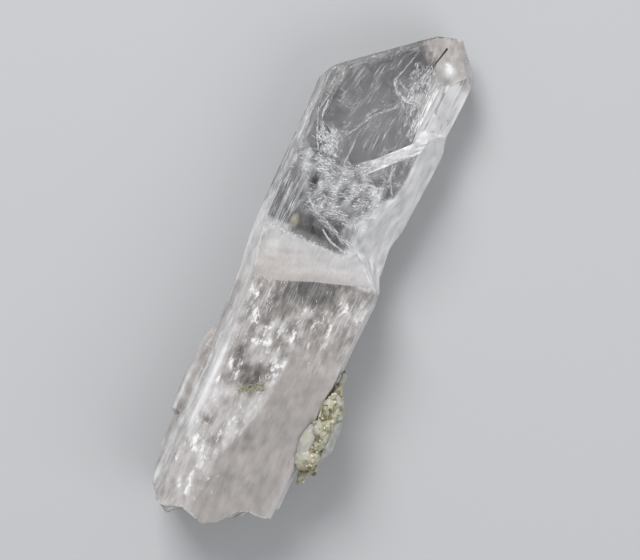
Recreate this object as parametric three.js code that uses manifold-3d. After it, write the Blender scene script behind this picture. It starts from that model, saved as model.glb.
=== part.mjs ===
// Danburite crystal, lying on its flat back face. Millimetres, +Z up.
// +Y runs along the crystal's long axis from the broken base to the tip, +X runs across it,
// and the floor under the back face is z = 0. The shapes are drawn with y = 0 at the base end, and
// the finished group is moved so that the origin is on the back face, half way along.
//
// The crystal is a parallel growth: a thick lower crystal, a thinner middle one and a clear top one
// stand in the same line and share their faces, so they are joined in one solid. A small crystal
// grows along the left side, and a crust of other minerals sits on the right side near the base.

import * as THREE from 'three';
import { mergeVertices } from 'three/addons/utils/BufferGeometryUtils.js';
import Module from 'manifold-3d';

// ---- Driving dimensions ----------------------------------------------------------------------

const LENGTH = 78;             // broken base to the tip
const THICK_LOWER = 14.7;      // back face to the front face of the lower crystal, at its left edge
const THICK_LOWER_RIGHT = 13.1; // the same at its right edge
const THICK_MIDDLE = 12.2;     // front face of the middle crystal
const THICK_TOP = 11;          // front face of the clear top crystal
const WIDEST_LOW = 5.2;        // the sides are widest between these two heights
const WIDEST_HIGH = 7.2;
const BACK_INSET_LEFT = 3;     // how far the flat back face stays inside the widest outline
const BACK_INSET_RIGHT = 2.4;
const RIB_DEPTH = 0.13;        // growth ribs that run along the axis
const SEAT_GAP = 0.3;          // between the crystal and what has grown on it

const APEX = [5.4, LENGTH];    // highest point of the tip, across and along
const CREST = [2.2, 76.8];     // where the long left end face turns to the apex
const SHOULDER_LEFT = [-9.5, 66.8];
const SHOULDER_LEFT_LOW = [-10.8, 64.7];
const SHOULDER_RIGHT = [9.15, 74];
const SHOULDER_RIGHT_LOW = [9.35, 72.6];
const HEART = new THREE.Vector3(-1, 40, 6); // a point well inside the crystal

// Sloping faces, each a plane through three points: x, y, z.
// The broad frosted ledge slopes from the middle crystal's front face down to the lower crystal's.
const LEDGE = [[-8.5, 43.2, THICK_MIDDLE - 0.3], [3, 43, THICK_MIDDLE], [-5, 35.5, THICK_LOWER]];
// Toward the base the right half of the lower crystal's front face leans away.
const LEANING_FACE = [[2.3, 26, 14.02], [-1.4, 3, 14.25], [9.5, 10, 12.2]];
// The middle crystal's front face ends in a notch like a V with a narrow sill.
const NOTCH_RIGHT = [[1.2, 54.7, THICK_MIDDLE], [7.5, 61.5, THICK_MIDDLE], [0.6, 56.4, THICK_TOP]];
const NOTCH_LEFT = [[-9.4, 56.1, THICK_MIDDLE], [-6.5, 54.9, THICK_MIDDLE - 0.2], [-8.9, 60, THICK_TOP]];
const NOTCH_SILL = [[-4, 53.4, THICK_MIDDLE], [0, 53.6, THICK_MIDDLE], [-2, 54.8, THICK_TOP]];
const MIDDLE_RIGHT_END = [[8.4, 63.4, 9.5], [9.2, 63.1, 9.5], [8.4, 62.9, 10.3]];
// The tip: a narrow bevel along the long left end face, the frosted facet, a small facet right of
// it, the strip by the right end face, and two gentle facets on the back.
const TIP_FACES = [
  [[...SHOULDER_LEFT, THICK_TOP - 0.8], [...CREST, THICK_TOP - 0.8], [-3.6, 71, THICK_TOP]],
  [[-0.3, 74.4, THICK_TOP], [5, 70.5, THICK_TOP], [...APEX, 7]],
  [[3.4, 71.7, THICK_TOP], [5.3, 69.5, THICK_TOP], [8.5, 74.3, 7.73]],
  [[...APEX, 7], [7.2, 74.6, 8.05], [...SHOULDER_RIGHT, 5.2]],
  [[-2, 73.5, 0], [7, 69, 0], [...APEX, 4]],
  [[-9.5, 63, 0], [-3, 73, 0], [...SHOULDER_LEFT, 1.1]],
];

// Stations along the axis: y, left outline, left face edge, right face edge, right outline.
const LOWER_STATIONS = [
  [-3, -9.0, -6.2, 8.9, 9.9],
  [9, -9.2, -6.5, 9.0, 9.9],
  [20, -9.15, -6.7, 9.1, 9.95],
  [31, -9.3, -7.1, 9.1, 9.9],
  [36, -9.6, -7.5, 9.2, 10.0],
  [38.5, -10.1, -8.0, 9.3, 10.1],
  [40.4, -10.25, -8.2, 9.1, 9.9],
  [42.4, -10.35, -8.4, 6.6, 9.0],
  [44.5, -10.4, -8.5, 3.2, 8.7],
];
const MIDDLE_STATIONS = [
  [34, -9.3, -7.6, 5.2, 8.9],
  [40, -10.3, -8.7, 4.6, 9.0],
  [43.5, -10.5, -8.9, 4.2, 8.95],
  [46.8, -10.55, -9.0, 4.0, 8.5],
  [49.5, -10.6, -9.1, 4.6, 9.2],
  [54, -10.65, -9.2, 6.7, 9.4],
  [59, -10.7, -9.3, 6.9, 9.7],
  [62.2, -10.7, -9.3, 6.6, 9.75],
  [64.5, -10.7, -9.3, 6.0, 9.05],
  [65.4, -10.6, -9.3, 5.6, 8.7],
];
const TOP_STATIONS = [
  [42, -10.2, -9.0, 4.0, 8.4],
  [58, -10.6, -9.2, 5.2, 8.9],
  [63, -10.78, -9.4, 5.0, 9.05],
  [70, -10.85, -9.5, 5.3, 9.35],
  [LENGTH + 1, -10.85, -9.5, 5.6, 9.35],
];
const SIDE_STATIONS = [ // the small crystal on the left: y, outermost x, lowest z, highest z
  [11.9, -8.6, 5.6, 6.8],
  [13.4, -10.0, 3.8, 8.9],
  [18, -10.2, 3.4, 9.6],
  [23.5, -10.1, 3.7, 9.3],
  [25.6, -9.8, 4.4, 8.4],
  [27.4, -8.7, 5.6, 6.8],
];
const SIDE_ROOT = -6.5;        // how deep the small crystal is rooted in the main one
// The lower crystal's front face has a low ridge near its left edge and falls to the right: share
// of the face's width from the left, height, growth ribs from there to the next place.
const LOWER_CROWN = [
  [0.02, THICK_LOWER + 0.12, 2],
  [0.24, THICK_LOWER - 0.2, 0],
  [0.5, THICK_LOWER - 0.75, 0],
];

// The broken base, as seen from the front: across, along.
const BASE_LINE = [
  [-11.5, 11], [-9.3, 8], [-8.5, 3], [-7, 1], [-5, 0],
  [-1.5, 0.8], [2, 1.2], [4.4, 2.9], [8.6, 4.7], [11.5, 7],
];
const BASE_CELLS = [15, 10];   // facets of the break across and through the thickness
const BREAK_WAVE = 0.55;       // half the height of the break's shell-shaped waves
const BREAK_STEP = 0.5;        // height of its steps
const BREAK_SLOPE = 0.16;      // how fast it rises toward the back
const BREAK_SINK = 0.155;      // puts the lowest point of the break at y = 0

// Chips broken out of the edges: centre x, y, z and radii x, y, z.
const CHIPS = [
  [-6.4, 9.5, 15.4, 1.3, 2.6, 1.1],
  [10.4, 31.5, 12.6, 1.0, 2.2, 1.2],
  [9.9, 39.9, 14.2, 1.5, 1.7, 1.3],
  [-9.9, 52.5, 12.6, 0.9, 2.0, 1.2],
  [10.2, 47.0, 9.4, 1.5, 1.9, 2.2],
  [-10.4, 33.0, 10.4, 1.1, 2.4, 1.3],
  [9.9, 67.5, 9.6, 0.9, 2.4, 1.2],
  [9.8, 9.0, 12.6, 1.0, 1.8, 1.0],
];

// Lumps of the crust: centre x, y, z and radii x, y, z.
const CRUST_LUMPS = [
  [10.2, 15.2, 11.6, 1.7, 1.9, 2.5],
  [10.7, 17.3, 10.3, 1.6, 2.0, 3.2],
  [10.5, 19.6, 11.4, 1.8, 2.1, 2.9],
  [11.0, 21.9, 10.4, 1.65, 2.1, 3.0],
  [10.6, 23.7, 10.8, 1.45, 1.5, 2.4],
  [10.3, 25.0, 9.6, 0.8, 1.7, 1.9],
  [10.15, 27.3, 9.4, 0.5, 1.1, 0.9],
  [10.6, 15.8, 7.2, 1.5, 2.3, 2.2],
  [10.8, 19.0, 6.4, 1.7, 2.8, 2.2],
  [10.5, 22.2, 7.4, 1.4, 2.2, 2.0],
  [10.0, 22.8, 12.6, 0.95, 1.9, 1.2],
  [11.3, 22.5, 12.0, 1.2, 1.5, 1.25],
  [11.15, 19.3, 12.7, 0.95, 2.7, 1.2],
  [11.2, 15.9, 12.1, 0.9, 1.4, 1.15],
  [9.35, 17.6, 12.75, 1.2, 3.3, 0.85],
  [10.8, 14.3, 9.9, 1.45, 1.5, 2.5],
  [10.75, 12.5, 9.2, 0.6, 1.5, 0.9],
];
const CRUST_CRYSTAL = { centre: [11.9, 19.1, 10.4], radii: [1.25, 4.5, 3.1] };
const GRAY_TURN = 0.4;         // how the grey crystal is turned in its seat, radians
const LUMP_DETAIL = 1;         // subdivision of each lump
const LUMP_ROUGHNESS = 0.16;   // how uneven a lump is, as a share of its radius

// ---- Materials -------------------------------------------------------------------------------

const danburite = new THREE.MeshStandardMaterial({ color: 0xd9cfd0, roughness: 0.25, metalness: 0 });
const crust = new THREE.MeshStandardMaterial({ color: 0xb5ad86, roughness: 0.85, metalness: 0 });
const calcite = new THREE.MeshStandardMaterial({ color: 0xc4c8c6, roughness: 0.45, metalness: 0 });

// ---- Solids ----------------------------------------------------------------------------------

const wasm = await Module();
wasm.setup();

function toSolid(geometry) {
  const bare = geometry.clone();
  bare.deleteAttribute('normal');
  bare.deleteAttribute('uv');
  const merged = mergeVertices(bare, 1e-4);
  return new wasm.Manifold(new wasm.Mesh({
    numProp: 3,
    vertProperties: new Float32Array(merged.attributes.position.array),
    triVerts: new Uint32Array(merged.index.array),
  }));
}

function toMesh(name, solid, material) {
  const { vertProperties, triVerts, numProp } = solid.getMesh();
  const geometry = new THREE.BufferGeometry();
  const positions = new THREE.BufferAttribute(new Float32Array(vertProperties), numProp);
  geometry.setAttribute('position', positions);
  geometry.setIndex(new THREE.BufferAttribute(new Uint32Array(triVerts), 1));
  geometry.computeVertexNormals();
  const mesh = new THREE.Mesh(geometry, material);
  mesh.name = name;
  return mesh;
}

function joined(solids) {
  return solids.reduce((all, solid) => all.add(solid));
}

// A value read off a list of [place, value] pairs, in straight lines between them.
function along(pairs, place) {
  const next = Math.max(1, pairs.findIndex(([at]) => at >= place));
  const [[a, va], [b, vb]] = [pairs[next - 1], pairs[next]];
  return va + ((vb - va) * (place - a)) / (b - a);
}

// ---- Prisms ----------------------------------------------------------------------------------

// Splits the face from one corner to the next into ribs, each a shallow groove deep.
function ribs(from, to, count) {
  const dx = to.x - from.x;
  const dz = to.z - from.z;
  const span = Math.hypot(dx, dz);
  const points = [];
  for (let i = 0; i < 2 * count; i += 1) {
    const t = (i + 0.35 * Math.sin(i * 2.3)) / (2 * count);
    const depth = i % 2 === 0 ? 0 : RIB_DEPTH * (0.6 + 0.4 * Math.sin(i * 1.7));
    points.push([from.x + dx * t + (dz / span) * depth, from.z + dz * t - (dx / span) * depth]);
  }
  return points;
}

// The outline of one cross-section. It runs up the left side, over the front and down the right.
function crossSection(corners) {
  return corners.flatMap((corner, i) => {
    const next = corners[(i + 1) % corners.length];
    return corner.ribs ? ribs(corner, next, corner.ribs) : [[corner.x, corner.z]];
  });
}

// A closed body through a row of cross-sections with the same number of points.
function loft(sections) {
  const count = sections[0].points.length;
  const positions = sections.flatMap(({ y, points }) => points.flatMap(([x, z]) => [x, y, z]));
  const index = [];
  for (let s = 0; s + 1 < sections.length; s += 1) {
    for (let i = 0; i < count; i += 1) {
      const a = s * count + i;
      const b = s * count + ((i + 1) % count);
      index.push(a, b, b + count, a, b + count, a + count);
    }
  }
  [sections[0], sections[sections.length - 1]].forEach(({ y, points }, end) => {
    const middle = positions.length / 3;
    const start = end === 0 ? 0 : (sections.length - 1) * count;
    const mean = (axis) => points.reduce((sum, point) => sum + point[axis], 0) / count;
    positions.push(mean(0), y, mean(1));
    for (let i = 0; i < count; i += 1) {
      const pair = [start + i, start + ((i + 1) % count)];
      index.push(middle, ...(end === 0 ? pair.reverse() : pair));
    }
  });
  const geometry = new THREE.BufferGeometry();
  geometry.setAttribute('position', new THREE.Float32BufferAttribute(positions, 3));
  geometry.setIndex(index);
  return toSolid(geometry);
}

// One crystal of the parallel growth: a flat back, ribbed sides and a front face.
function individual(stations, frontLeft, frontRight, frontCrown = []) {
  return loft(stations.map(([y, left, leftEdge, rightEdge, right]) => ({
    y,
    points: crossSection([
      { x: left + BACK_INSET_LEFT, z: 0, ribs: 4 },
      { x: left, z: WIDEST_LOW, ribs: 1 },
      { x: left, z: WIDEST_HIGH, ribs: 4 },
      { x: leftEdge, z: frontLeft },
      ...frontCrown.map(([share, z, grooves]) => (
        { x: leftEdge + share * (rightEdge - leftEdge), z, ribs: grooves }
      )),
      { x: rightEdge, z: frontRight, ribs: 3 },
      { x: right, z: WIDEST_HIGH, ribs: 1 },
      { x: right, z: WIDEST_LOW, ribs: 3 },
      { x: right - BACK_INSET_RIGHT, z: 0 },
    ]),
  })));
}

// ---- Cuts ------------------------------------------------------------------------------------

// All the space past the plane through three points, on the side away from the crystal's heart.
function beyond(a, b, c) {
  const reach = 400;
  const [pa, pb, pc] = [a, b, c].map((point) => new THREE.Vector3(...point));
  const normal = pb.clone().sub(pa).cross(pc.clone().sub(pa)).normalize();
  if (HEART.clone().sub(pa).dot(normal) > 0) normal.negate();
  const turn = new THREE.Quaternion().setFromUnitVectors(new THREE.Vector3(0, 0, 1), normal);
  const box = new THREE.BoxGeometry(reach, reach, reach);
  box.translate(0, 0, reach / 2).applyQuaternion(turn).translate(pa.x, pa.y, pa.z);
  return toSolid(box);
}

// The same for an end face that stands square to the floor over a line from one point to another.
function beyondUpright([ax, ay], [bx, by]) {
  return beyond([ax, ay, 0], [bx, by, 0], [bx, by, THICK_LOWER]);
}

function ball([x, y, z], [rx, ry, rz], detail, turn = 0) {
  const geometry = new THREE.IcosahedronGeometry(1, detail);
  geometry.rotateZ(turn).rotateX(turn * 1.7).scale(rx, ry, rz).translate(x, y, z);
  return toSolid(geometry);
}

// Everything below the rough, stepped break at the base.
function brokenBase() {
  const [across, deep] = [26, 20];
  const geometry = new THREE.BoxGeometry(across, deep, deep, BASE_CELLS[0], 1, BASE_CELLS[1]);
  geometry.translate(0, -deep / 2, THICK_LOWER / 2);
  const position = geometry.attributes.position;
  for (let i = 0; i < position.count; i += 1) {
    if (position.getY(i) < -deep / 2) continue;
    const [x, z] = [position.getX(i), position.getZ(i)];
    const wave = BREAK_WAVE * (1 + Math.sin(0.9 * x + 0.75 * z));
    const step = BREAK_STEP * Math.floor(1.5 + Math.sin(1.3 * z - 0.4 * x));
    const back = BREAK_SLOPE * Math.max(0, 6 - z);
    position.setY(i, along(BASE_LINE, x) + wave + step + back - BREAK_SINK);
  }
  return toSolid(geometry);
}

// ---- The crystal -----------------------------------------------------------------------------

function lowerCrystal() {
  const prism = individual(LOWER_STATIONS, THICK_LOWER - 0.35, THICK_LOWER_RIGHT, LOWER_CROWN);
  return prism.subtract(beyond(...LEDGE)).subtract(beyond(...LEANING_FACE));
}

function middleCrystal() {
  const prism = individual(MIDDLE_STATIONS, THICK_MIDDLE, THICK_MIDDLE);
  const notch = beyond(...NOTCH_RIGHT).intersect(beyond(...NOTCH_LEFT)).intersect(beyond(...NOTCH_SILL));
  return prism.subtract(notch).subtract(beyond(...MIDDLE_RIGHT_END));
}

function topCrystal() {
  const prism = individual(TOP_STATIONS, THICK_TOP, THICK_TOP);
  const cuts = [
    beyondUpright(SHOULDER_LEFT_LOW, SHOULDER_LEFT),
    beyondUpright(SHOULDER_LEFT, CREST),
    beyondUpright(CREST, APEX),
    beyondUpright(APEX, SHOULDER_RIGHT),
    beyondUpright(SHOULDER_RIGHT, SHOULDER_RIGHT_LOW),
    ...TIP_FACES.map((points) => beyond(...points)),
  ];
  return cuts.reduce((solid, cut) => solid.subtract(cut), prism);
}

function sideCrystal() {
  return loft(SIDE_STATIONS.map(([y, x, low, high]) => ({
    y,
    points: [
      [SIDE_ROOT, low - 0.2], [x + 0.7, low], [x, low + 0.8], [x, high - 1], [x + 0.8, high],
      [SIDE_ROOT, high + 0.2],
    ],
  })));
}

function wholeCrystal() {
  const grown = joined([lowerCrystal(), middleCrystal(), topCrystal(), sideCrystal()]);
  const chips = CHIPS.map(([x, y, z, ...radii], i) => ball([x, y, z], radii, 1, i));
  return [brokenBase(), ...chips].reduce((solid, cut) => solid.subtract(cut), grown);
}

// ---- What has grown on it --------------------------------------------------------------------

// An uneven lump: each corner is moved in or out by an amount that depends on where it is.
function lump([x, y, z], radii, turn) {
  const geometry = new THREE.IcosahedronGeometry(1, LUMP_DETAIL);
  const position = geometry.attributes.position;
  const corner = new THREE.Vector3();
  for (let i = 0; i < position.count; i += 1) {
    corner.fromBufferAttribute(position, i);
    const wave = Math.sin(5 * corner.x + turn) * Math.cos(4 * corner.y - turn) + Math.sin(6 * corner.z);
    corner.multiplyScalar(1 + LUMP_ROUGHNESS * 0.5 * wave);
    position.setXYZ(i, corner.x, corner.y, corner.z);
  }
  geometry.rotateX(turn).rotateZ(turn * 0.7).scale(...radii).translate(x, y, z);
  return toSolid(geometry);
}

// The crystal and a gap all round it on the side where the crust sits.
function withGap(solid, gap) {
  const shifts = [[0, 0], [gap, 0], [0, gap], [gap, gap], [gap, -gap]];
  return joined(shifts.map(([x, z]) => solid.translate([x, 0, z])));
}

const crystalSolid = wholeCrystal();
const keepClear = withGap(crystalSolid, SEAT_GAP);
const { centre: graySeat, radii: grayRadii } = CRUST_CRYSTAL;
const graySolid = lump(graySeat, grayRadii, GRAY_TURN);
const grayPocket = lump(graySeat, grayRadii.map((radius) => radius + SEAT_GAP), GRAY_TURN);
const crustLumps = joined(CRUST_LUMPS.map(([x, y, z, ...radii], i) => lump([x, y, z], radii, i)));
const crustSolid = crustLumps.subtract(keepClear).subtract(grayPocket);

const specimen = new THREE.Group();
specimen.position.y = -LENGTH / 2;
specimen.add(
  toMesh('danburite_crystal', crystalSolid, danburite),
  toMesh('matrix_crust', crustSolid, crust),
  toMesh('crust_crystal', graySolid, calcite),
);

export default specimen;
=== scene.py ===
import math
import random

import bpy
from bpy.props import FloatProperty, FloatVectorProperty, IntProperty, PointerProperty
from mathutils import Euler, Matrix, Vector, noise


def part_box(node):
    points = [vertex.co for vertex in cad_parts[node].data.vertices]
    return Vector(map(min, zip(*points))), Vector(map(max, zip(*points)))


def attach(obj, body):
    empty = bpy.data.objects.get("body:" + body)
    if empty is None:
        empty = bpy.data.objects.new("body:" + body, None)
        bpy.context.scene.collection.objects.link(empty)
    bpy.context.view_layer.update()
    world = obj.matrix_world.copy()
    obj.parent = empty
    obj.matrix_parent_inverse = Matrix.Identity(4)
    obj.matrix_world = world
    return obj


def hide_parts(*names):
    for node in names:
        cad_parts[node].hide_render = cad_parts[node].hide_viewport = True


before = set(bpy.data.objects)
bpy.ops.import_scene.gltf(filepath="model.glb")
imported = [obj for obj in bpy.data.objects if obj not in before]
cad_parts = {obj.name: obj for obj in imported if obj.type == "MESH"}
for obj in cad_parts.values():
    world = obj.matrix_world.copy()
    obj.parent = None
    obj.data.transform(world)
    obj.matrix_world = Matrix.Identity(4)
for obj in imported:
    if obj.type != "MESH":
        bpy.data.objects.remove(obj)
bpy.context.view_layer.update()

bl_info = {
    "name": "Danburite Crystal",
    "version": (1, 0, 0),
    "blender": (4, 5, 0),
    "location": "View3D > Sidebar > Danburite",
    "description": "Builds a striated danburite crystal with its inclusions and its mineral crust",
    "category": "Add Mesh",
}

MM = 0.001
LOW, HIGH = (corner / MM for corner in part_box("danburite_crystal"))
BASE_Y = LOW.y  # where the base end is on the Y axis, mm


# ---- Places in the crystal ----
# In mm: x to the right of the long axis, y from the base end, z off the floor.


def at(x, y, z):
    """A place as a point in metres."""
    return Vector((x, y + BASE_Y, z)) * MM


def place_of(point):
    """The place of a point in metres."""
    return point.x / MM, point.y / MM - BASE_Y, point.z / MM


def between(pairs, place):
    """A value read off a list of (place, value) pairs, in straight lines between them."""
    if place <= pairs[0][0]:
        return pairs[0][1]
    for (a, value_a), (b, value_b) in zip(pairs, pairs[1:]):
        if place <= b:
            return value_a + (value_b - value_a) * (place - a) / (b - a)
    return pairs[-1][1]


def ramp(low, high, value):
    """0 below low, 1 above high and a smooth rise between. With low above high it falls."""
    t = min(1.0, max(0.0, (value - low) / (high - low)))
    return t * t * (3 - 2 * t)


def plateau(start, full, fading, end, value):
    """1 from full to fading, with a smooth rise from start and a smooth fall to end."""
    return ramp(start, full, value) * ramp(end, fading, value)


def spot(x, y, centre, radius):
    """1 at the centre of a soft round spot, falling to 0 outside it."""
    return math.exp(-((x - centre[0]) ** 2 + (y - centre[1]) ** 2) / radius ** 2)


def bell(value, middle, half):
    """1 at the middle of a soft stripe, falling to 0 outside it."""
    return math.exp(-((value - middle) / half) ** 2)


def off_line(line, x, y):
    """How far a place is to the left of the line through two points. To its right it is negative."""
    (ax, ay), (bx, by) = line
    return ((y - ay) * (bx - ax) - (x - ax) * (by - ay)) / math.dist(*line)


def facing(a, b, c):
    """The outward direction of the sloping face through three points, which all face up."""
    normal = (Vector(b) - Vector(a)).cross(Vector(c) - Vector(a)).normalized()
    return normal if normal.z > 0 else -normal


FRONT_TOP = 11.0  # z of the front face of the clear top
LEDGE = facing((-8.5, 43.2, 11.9), (3, 43, 12.2), (-5, 35.5, 14.7))
NOTCH_RIGHT = facing((1.2, 54.7, 12.2), (7.5, 61.5, 12.2), (0.6, 56.4, 11))
NOTCH_LEFT = facing((-9.4, 56.1, 12.2), (-6.5, 54.9, 12), (-8.9, 60, 11))
NOTCH_SILL = facing((-4, 53.4, 12.2), (0, 53.6, 12.2), (-2, 54.8, 11))
TIP_FACET = facing((-0.3, 74.4, 11), (5, 70.5, 11), (5.4, 78, 7))
TIP_SMALL = facing((3.4, 71.7, 11), (5.3, 69.5, 11), (8.5, 74.3, 7.73))
TIP_STRIP = facing((5.4, 78, 7), (7.2, 74.6, 8.05), (9.15, 74, 5.2))
LEDGE_FOOT = [(-7.8, 35.4), (-5, 35.6), (-3, 36.3), (0, 37.8), (3, 38.7), (5, 39.2), (10, 39.9)]
RIGHT_EDGE = [
    (40, 4.6), (43.5, 4.2), (46.8, 4.0), (49.5, 4.6), (54, 6.7), (62, 6.6), (63.5, 5.0), (70, 5.3),
]
LEAN_EDGE = [(3, -1.4), (10, -0.9), (15, 0.7), (20, 1.8), (25, 2.2)]  # where the right half leans
END_FACE = [(-9.5, 66.8), (2.2, 76.8)]  # the long left end face
TIP_FACET_FOOT = [(-0.3, 74.4), (5.0, 70.5)]
BAND_END = [(6.2, 61.9), (9.6, 63.0)]  # where the diagonal ledge crosses the right face
SPOTS_SHADE_AND_HIGHLIGHTS = [  # x, y, radius, how much lighter: the darker spots first, dark spots in the crystal and painted shade under the ledge, then the lighter ones, painted highlights
    (1.8, 14.6, 0.75, -0.4), (1.8, 12.8, 0.6, -0.35), (4, 21.3, 0.6, -0.25), (1.7, 8.5, 0.8, -0.25),
    (3.2, 17.3, 0.5, -0.15), (-1.2, 22.5, 1.5, -0.3), (2, 36, 1.1, -0.5), (-1, 33.5, 0.7, -0.3),
    (0.4, 36.4, 1.3, -0.35), (-1.8, 35.4, 0.9, -0.25), (4.2, 18.8, 1.6, -0.1), (6.5, 9, 1.2, -0.1),
    (-2.6, 34.2, 0.8, -0.25), (-5, 24.6, 0.8, -0.2), (7.3, 57.6, 0.6, 0.35), (7.2, 65, 0.5, 0.3),
    (5.4, 73.1, 0.5, 0.4), (5.7, 73, 1.2, 0.2), (8.9, 41.3, 0.8, 0.2), (-6.5, 40.3, 1.2, 0.1),
    (5.5, 52.3, 1.4, 0.12), (6.7, 70.6, 0.5, 0.2), (7.4, 71.4, 0.5, 0.2),
]
CLEARER = [  # clearer spots in the milky left half: x, y, radius
    (-3.6, 22.8, 1.5), (-1.4, 22, 1.6), (0.2, 23.8, 1.2), (-3.2, 29, 1.6), (-0.6, 31.5, 1.4),
    (-4.6, 25.4, 1), (-2.4, 12.4, 0.7), (-4.8, 14.6, 0.5), (1.6, 27.4, 0.9),
]
GLINTS = [  # breaks just under the skin, each with a painted highlight where it catches the light: from x, y to x, y, and how wide they are
    (-4.9, 31.4, -4.2, 29.4, 0.55), (-5.8, 33.6, -5.2, 32.2, 0.35), (-5.6, 35.2, -5.4, 34.4, 0.3),
    (-3.4, 27, -1.2, 27.8, 0.42), (-4.2, 26.6, -3.6, 26.8, 0.3), (0.4, 24.2, 1.9, 25.8, 0.4),
    (0.2, 23.2, 1.2, 23.9, 0.35), (1, 22.4, 1.5, 22.9, 0.3), (-5, 23.5, -4.8, 22.5, 0.3),
    (-3.6, 23.2, -3.5, 21.8, 0.4), (-5.2, 17.6, -4.9, 18.4, 0.2), (-3.6, 19.1, -2.9, 19.2, 0.16),
    (-1.4, 18.4, -1.2, 18, 0.16), (-4.9, 11.9, -4.5, 10.2, 0.5), (-3.8, 11.3, -3.4, 10.4, 0.3),
    (-2.8, 9.6, -2.8, 8.2, 0.42), (-3.2, 7, -3, 4.2, 0.35), (-4.4, 5.6, -4.2, 4.6, 0.3),
    (1.3, 30.6, 1.5, 29.2, 0.4), (4, 30.5, 4.1, 29.3, 0.35), (5.6, 33.4, 5.8, 30.2, 0.35),
    (6.4, 36.8, 6.5, 35.4, 0.4), (5.4, 37.6, 5.5, 36.6, 0.25), (-0.8, 33.9, 0.6, 33.8, 0.2),
    (1.4, 33.9, 3.2, 33.6, 0.2), (3.3, 32.8, 3.4, 31.8, 0.3), (-2, 30.8, -1.9, 29.6, 0.25),
    (-4.4, 15.2, -4.3, 14, 0.25), (-2, 13.8, -2.2, 12.6, 0.25), (-5.6, 20.9, -5.5, 19.8, 0.25),
    (-7.4, 25, -7.3, 21, 0.2), (-1.6, 15.8, -1.3, 14.6, 0.22), (0.2, 27.8, 0.5, 26.8, 0.25),
    (-0.8, 8.4, -0.9, 7, 0.25), (5, 73.4, 5.6, 73, 0.4), (6.9, 71.8, 7, 70.3, 0.22),
    (7.6, 71.9, 7.6, 70.4, 0.22), (4.8, 64.7, 4.9, 64.1, 0.3), (6.4, 64.6, 7.1, 65.1, 0.25),
    (6, 68.6, 6, 67.4, 0.2), (7.2, 57.9, 7.5, 57.3, 0.3), (3.2, 53.2, 4.6, 54.2, 0.25),
    (1, 52.6, 2.6, 53.6, 0.3), (-1.6, 53.8, 0.2, 54.2, 0.25), (-5.2, 53.9, -3.6, 54.2, 0.18),
    (-8.2, 53.8, -6.8, 54, 0.18), (-4.8, 51.4, -4, 50.8, 0.18), (-7, 57.4, -5.2, 55.6, 0.4),
    (-5.6, 57.6, -4.4, 56.4, 0.3), (-8.3, 58.6, -7.6, 57.2, 0.22),
]
RIDGE = (-6.5, 0.5)  # the ridge along the lower crystal, with a painted highlight where it catches the light: x, half width
# the painted highlight on that ridge: milk, tone, breaks, streaks
RIDGE_HIGHLIGHT = (0.95, 1.0, 0.0, 0.1)
BANDS_AND_HIGHLIGHTS = [  # growth bands along the left, and painted highlights along its edges and ridges: x, half width, from y, to y, how much lighter
    (-7.6, 0.75, 2, 35, 0.2), (-8.8, 0.4, 9, 35, -0.12), (-9.65, 0.25, 12, 21, 0.4),
    (-8.2, 0.4, 34, 43, 0.14), (-9.75, 0.45, 35, 66, 0.24), (-7.8, 0.22, 43.5, 50, 0.28),
    (-7.1, 0.16, 43.5, 50, 0.16), (-6.15, 0.25, 43.5, 51, 0.3), (-7.9, 0.2, 3, 27, 0.2),
    (-5.3, 0.4, 12, 20, 0.08),
]


# ---- Small helpers ----


def linear(hex_colour):
    """An sRGB hex colour as linear RGBA."""
    values = [int(hex_colour[i:i + 2], 16) / 255 for i in (1, 3, 5)]
    return [v / 12.92 if v <= 0.04045 else ((v + 0.055) / 1.055) ** 2.4 for v in values] + [1.0]


def node(tree, kind, sockets=None, **properties):
    """Adds a shader node and sets its properties. Each input socket is linked, where it is given the
    output socket of another node, or set to the value that it is given."""
    made = tree.nodes.new("ShaderNode" + kind)
    for name, value in properties.items():
        setattr(made, name, value)
    for socket, given in (sockets or {}).items():
        if isinstance(given, bpy.types.NodeSocket):
            tree.links.new(given, made.inputs[socket])
        else:
            made.inputs[socket].default_value = given
    return made


MIX_FROM, MIX_TO, MIXED = 6, 7, 2  # the colour sockets of a Mix node


def material(name):
    """A new empty material and its tree."""
    made = bpy.data.materials.new(name)
    made.use_nodes = True
    made.node_tree.nodes.clear()
    return made, made.node_tree


def stretched(tree, across, along):
    """Object coordinates in which one unit is so many mm across the crystal, and along it."""
    place = node(tree, "TexCoord").outputs["Object"]
    scale = (1 / (across * MM), 1 / (along * MM), 1 / (across * MM))
    return node(tree, "Mapping", {"Scale": scale, "Vector": place}).outputs["Vector"]


def only(piece):
    """Selects one object alone and makes it active."""
    bpy.ops.object.select_all(action="DESELECT")
    piece.select_set(True)
    bpy.context.view_layer.objects.active = piece


def new_object(name, data):
    made = bpy.data.objects.new(name, data)
    bpy.context.scene.collection.objects.link(made)
    return made


def primitive(kind, **settings):
    """A new primitive. Nothing else stays selected."""
    bpy.ops.object.select_all(action="DESELECT")
    getattr(bpy.ops.mesh, f"primitive_{kind}_add")(**settings)
    return bpy.context.object


def keep(piece, name, values):
    """Keeps one value for each vertex as an attribute, which a material reads."""
    piece.data.attributes.new(name, "FLOAT", "POINT").data.foreach_set("value", values)


def merged_copy(node_name, name):
    """A copy of a CAD node as a new object, its loose triangles merged into one skin."""
    piece = new_object(name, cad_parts[node_name].data.copy())
    piece.data.materials.clear()
    only(piece)
    bpy.ops.object.mode_set(mode="EDIT")
    bpy.ops.mesh.select_all(action="SELECT")
    bpy.ops.mesh.remove_doubles(threshold=0.03 * MM)
    bpy.ops.mesh.dissolve_limited(angle_limit=math.radians(1.2))
    bpy.ops.object.mode_set(mode="OBJECT")
    return piece


def apply_modifier(piece, kind, **settings):
    modifier = piece.modifiers.new(kind.lower(), kind)
    for name, value in settings.items():
        setattr(modifier, name, value)
    only(piece)
    bpy.ops.object.modifier_apply(modifier=modifier.name)


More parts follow.
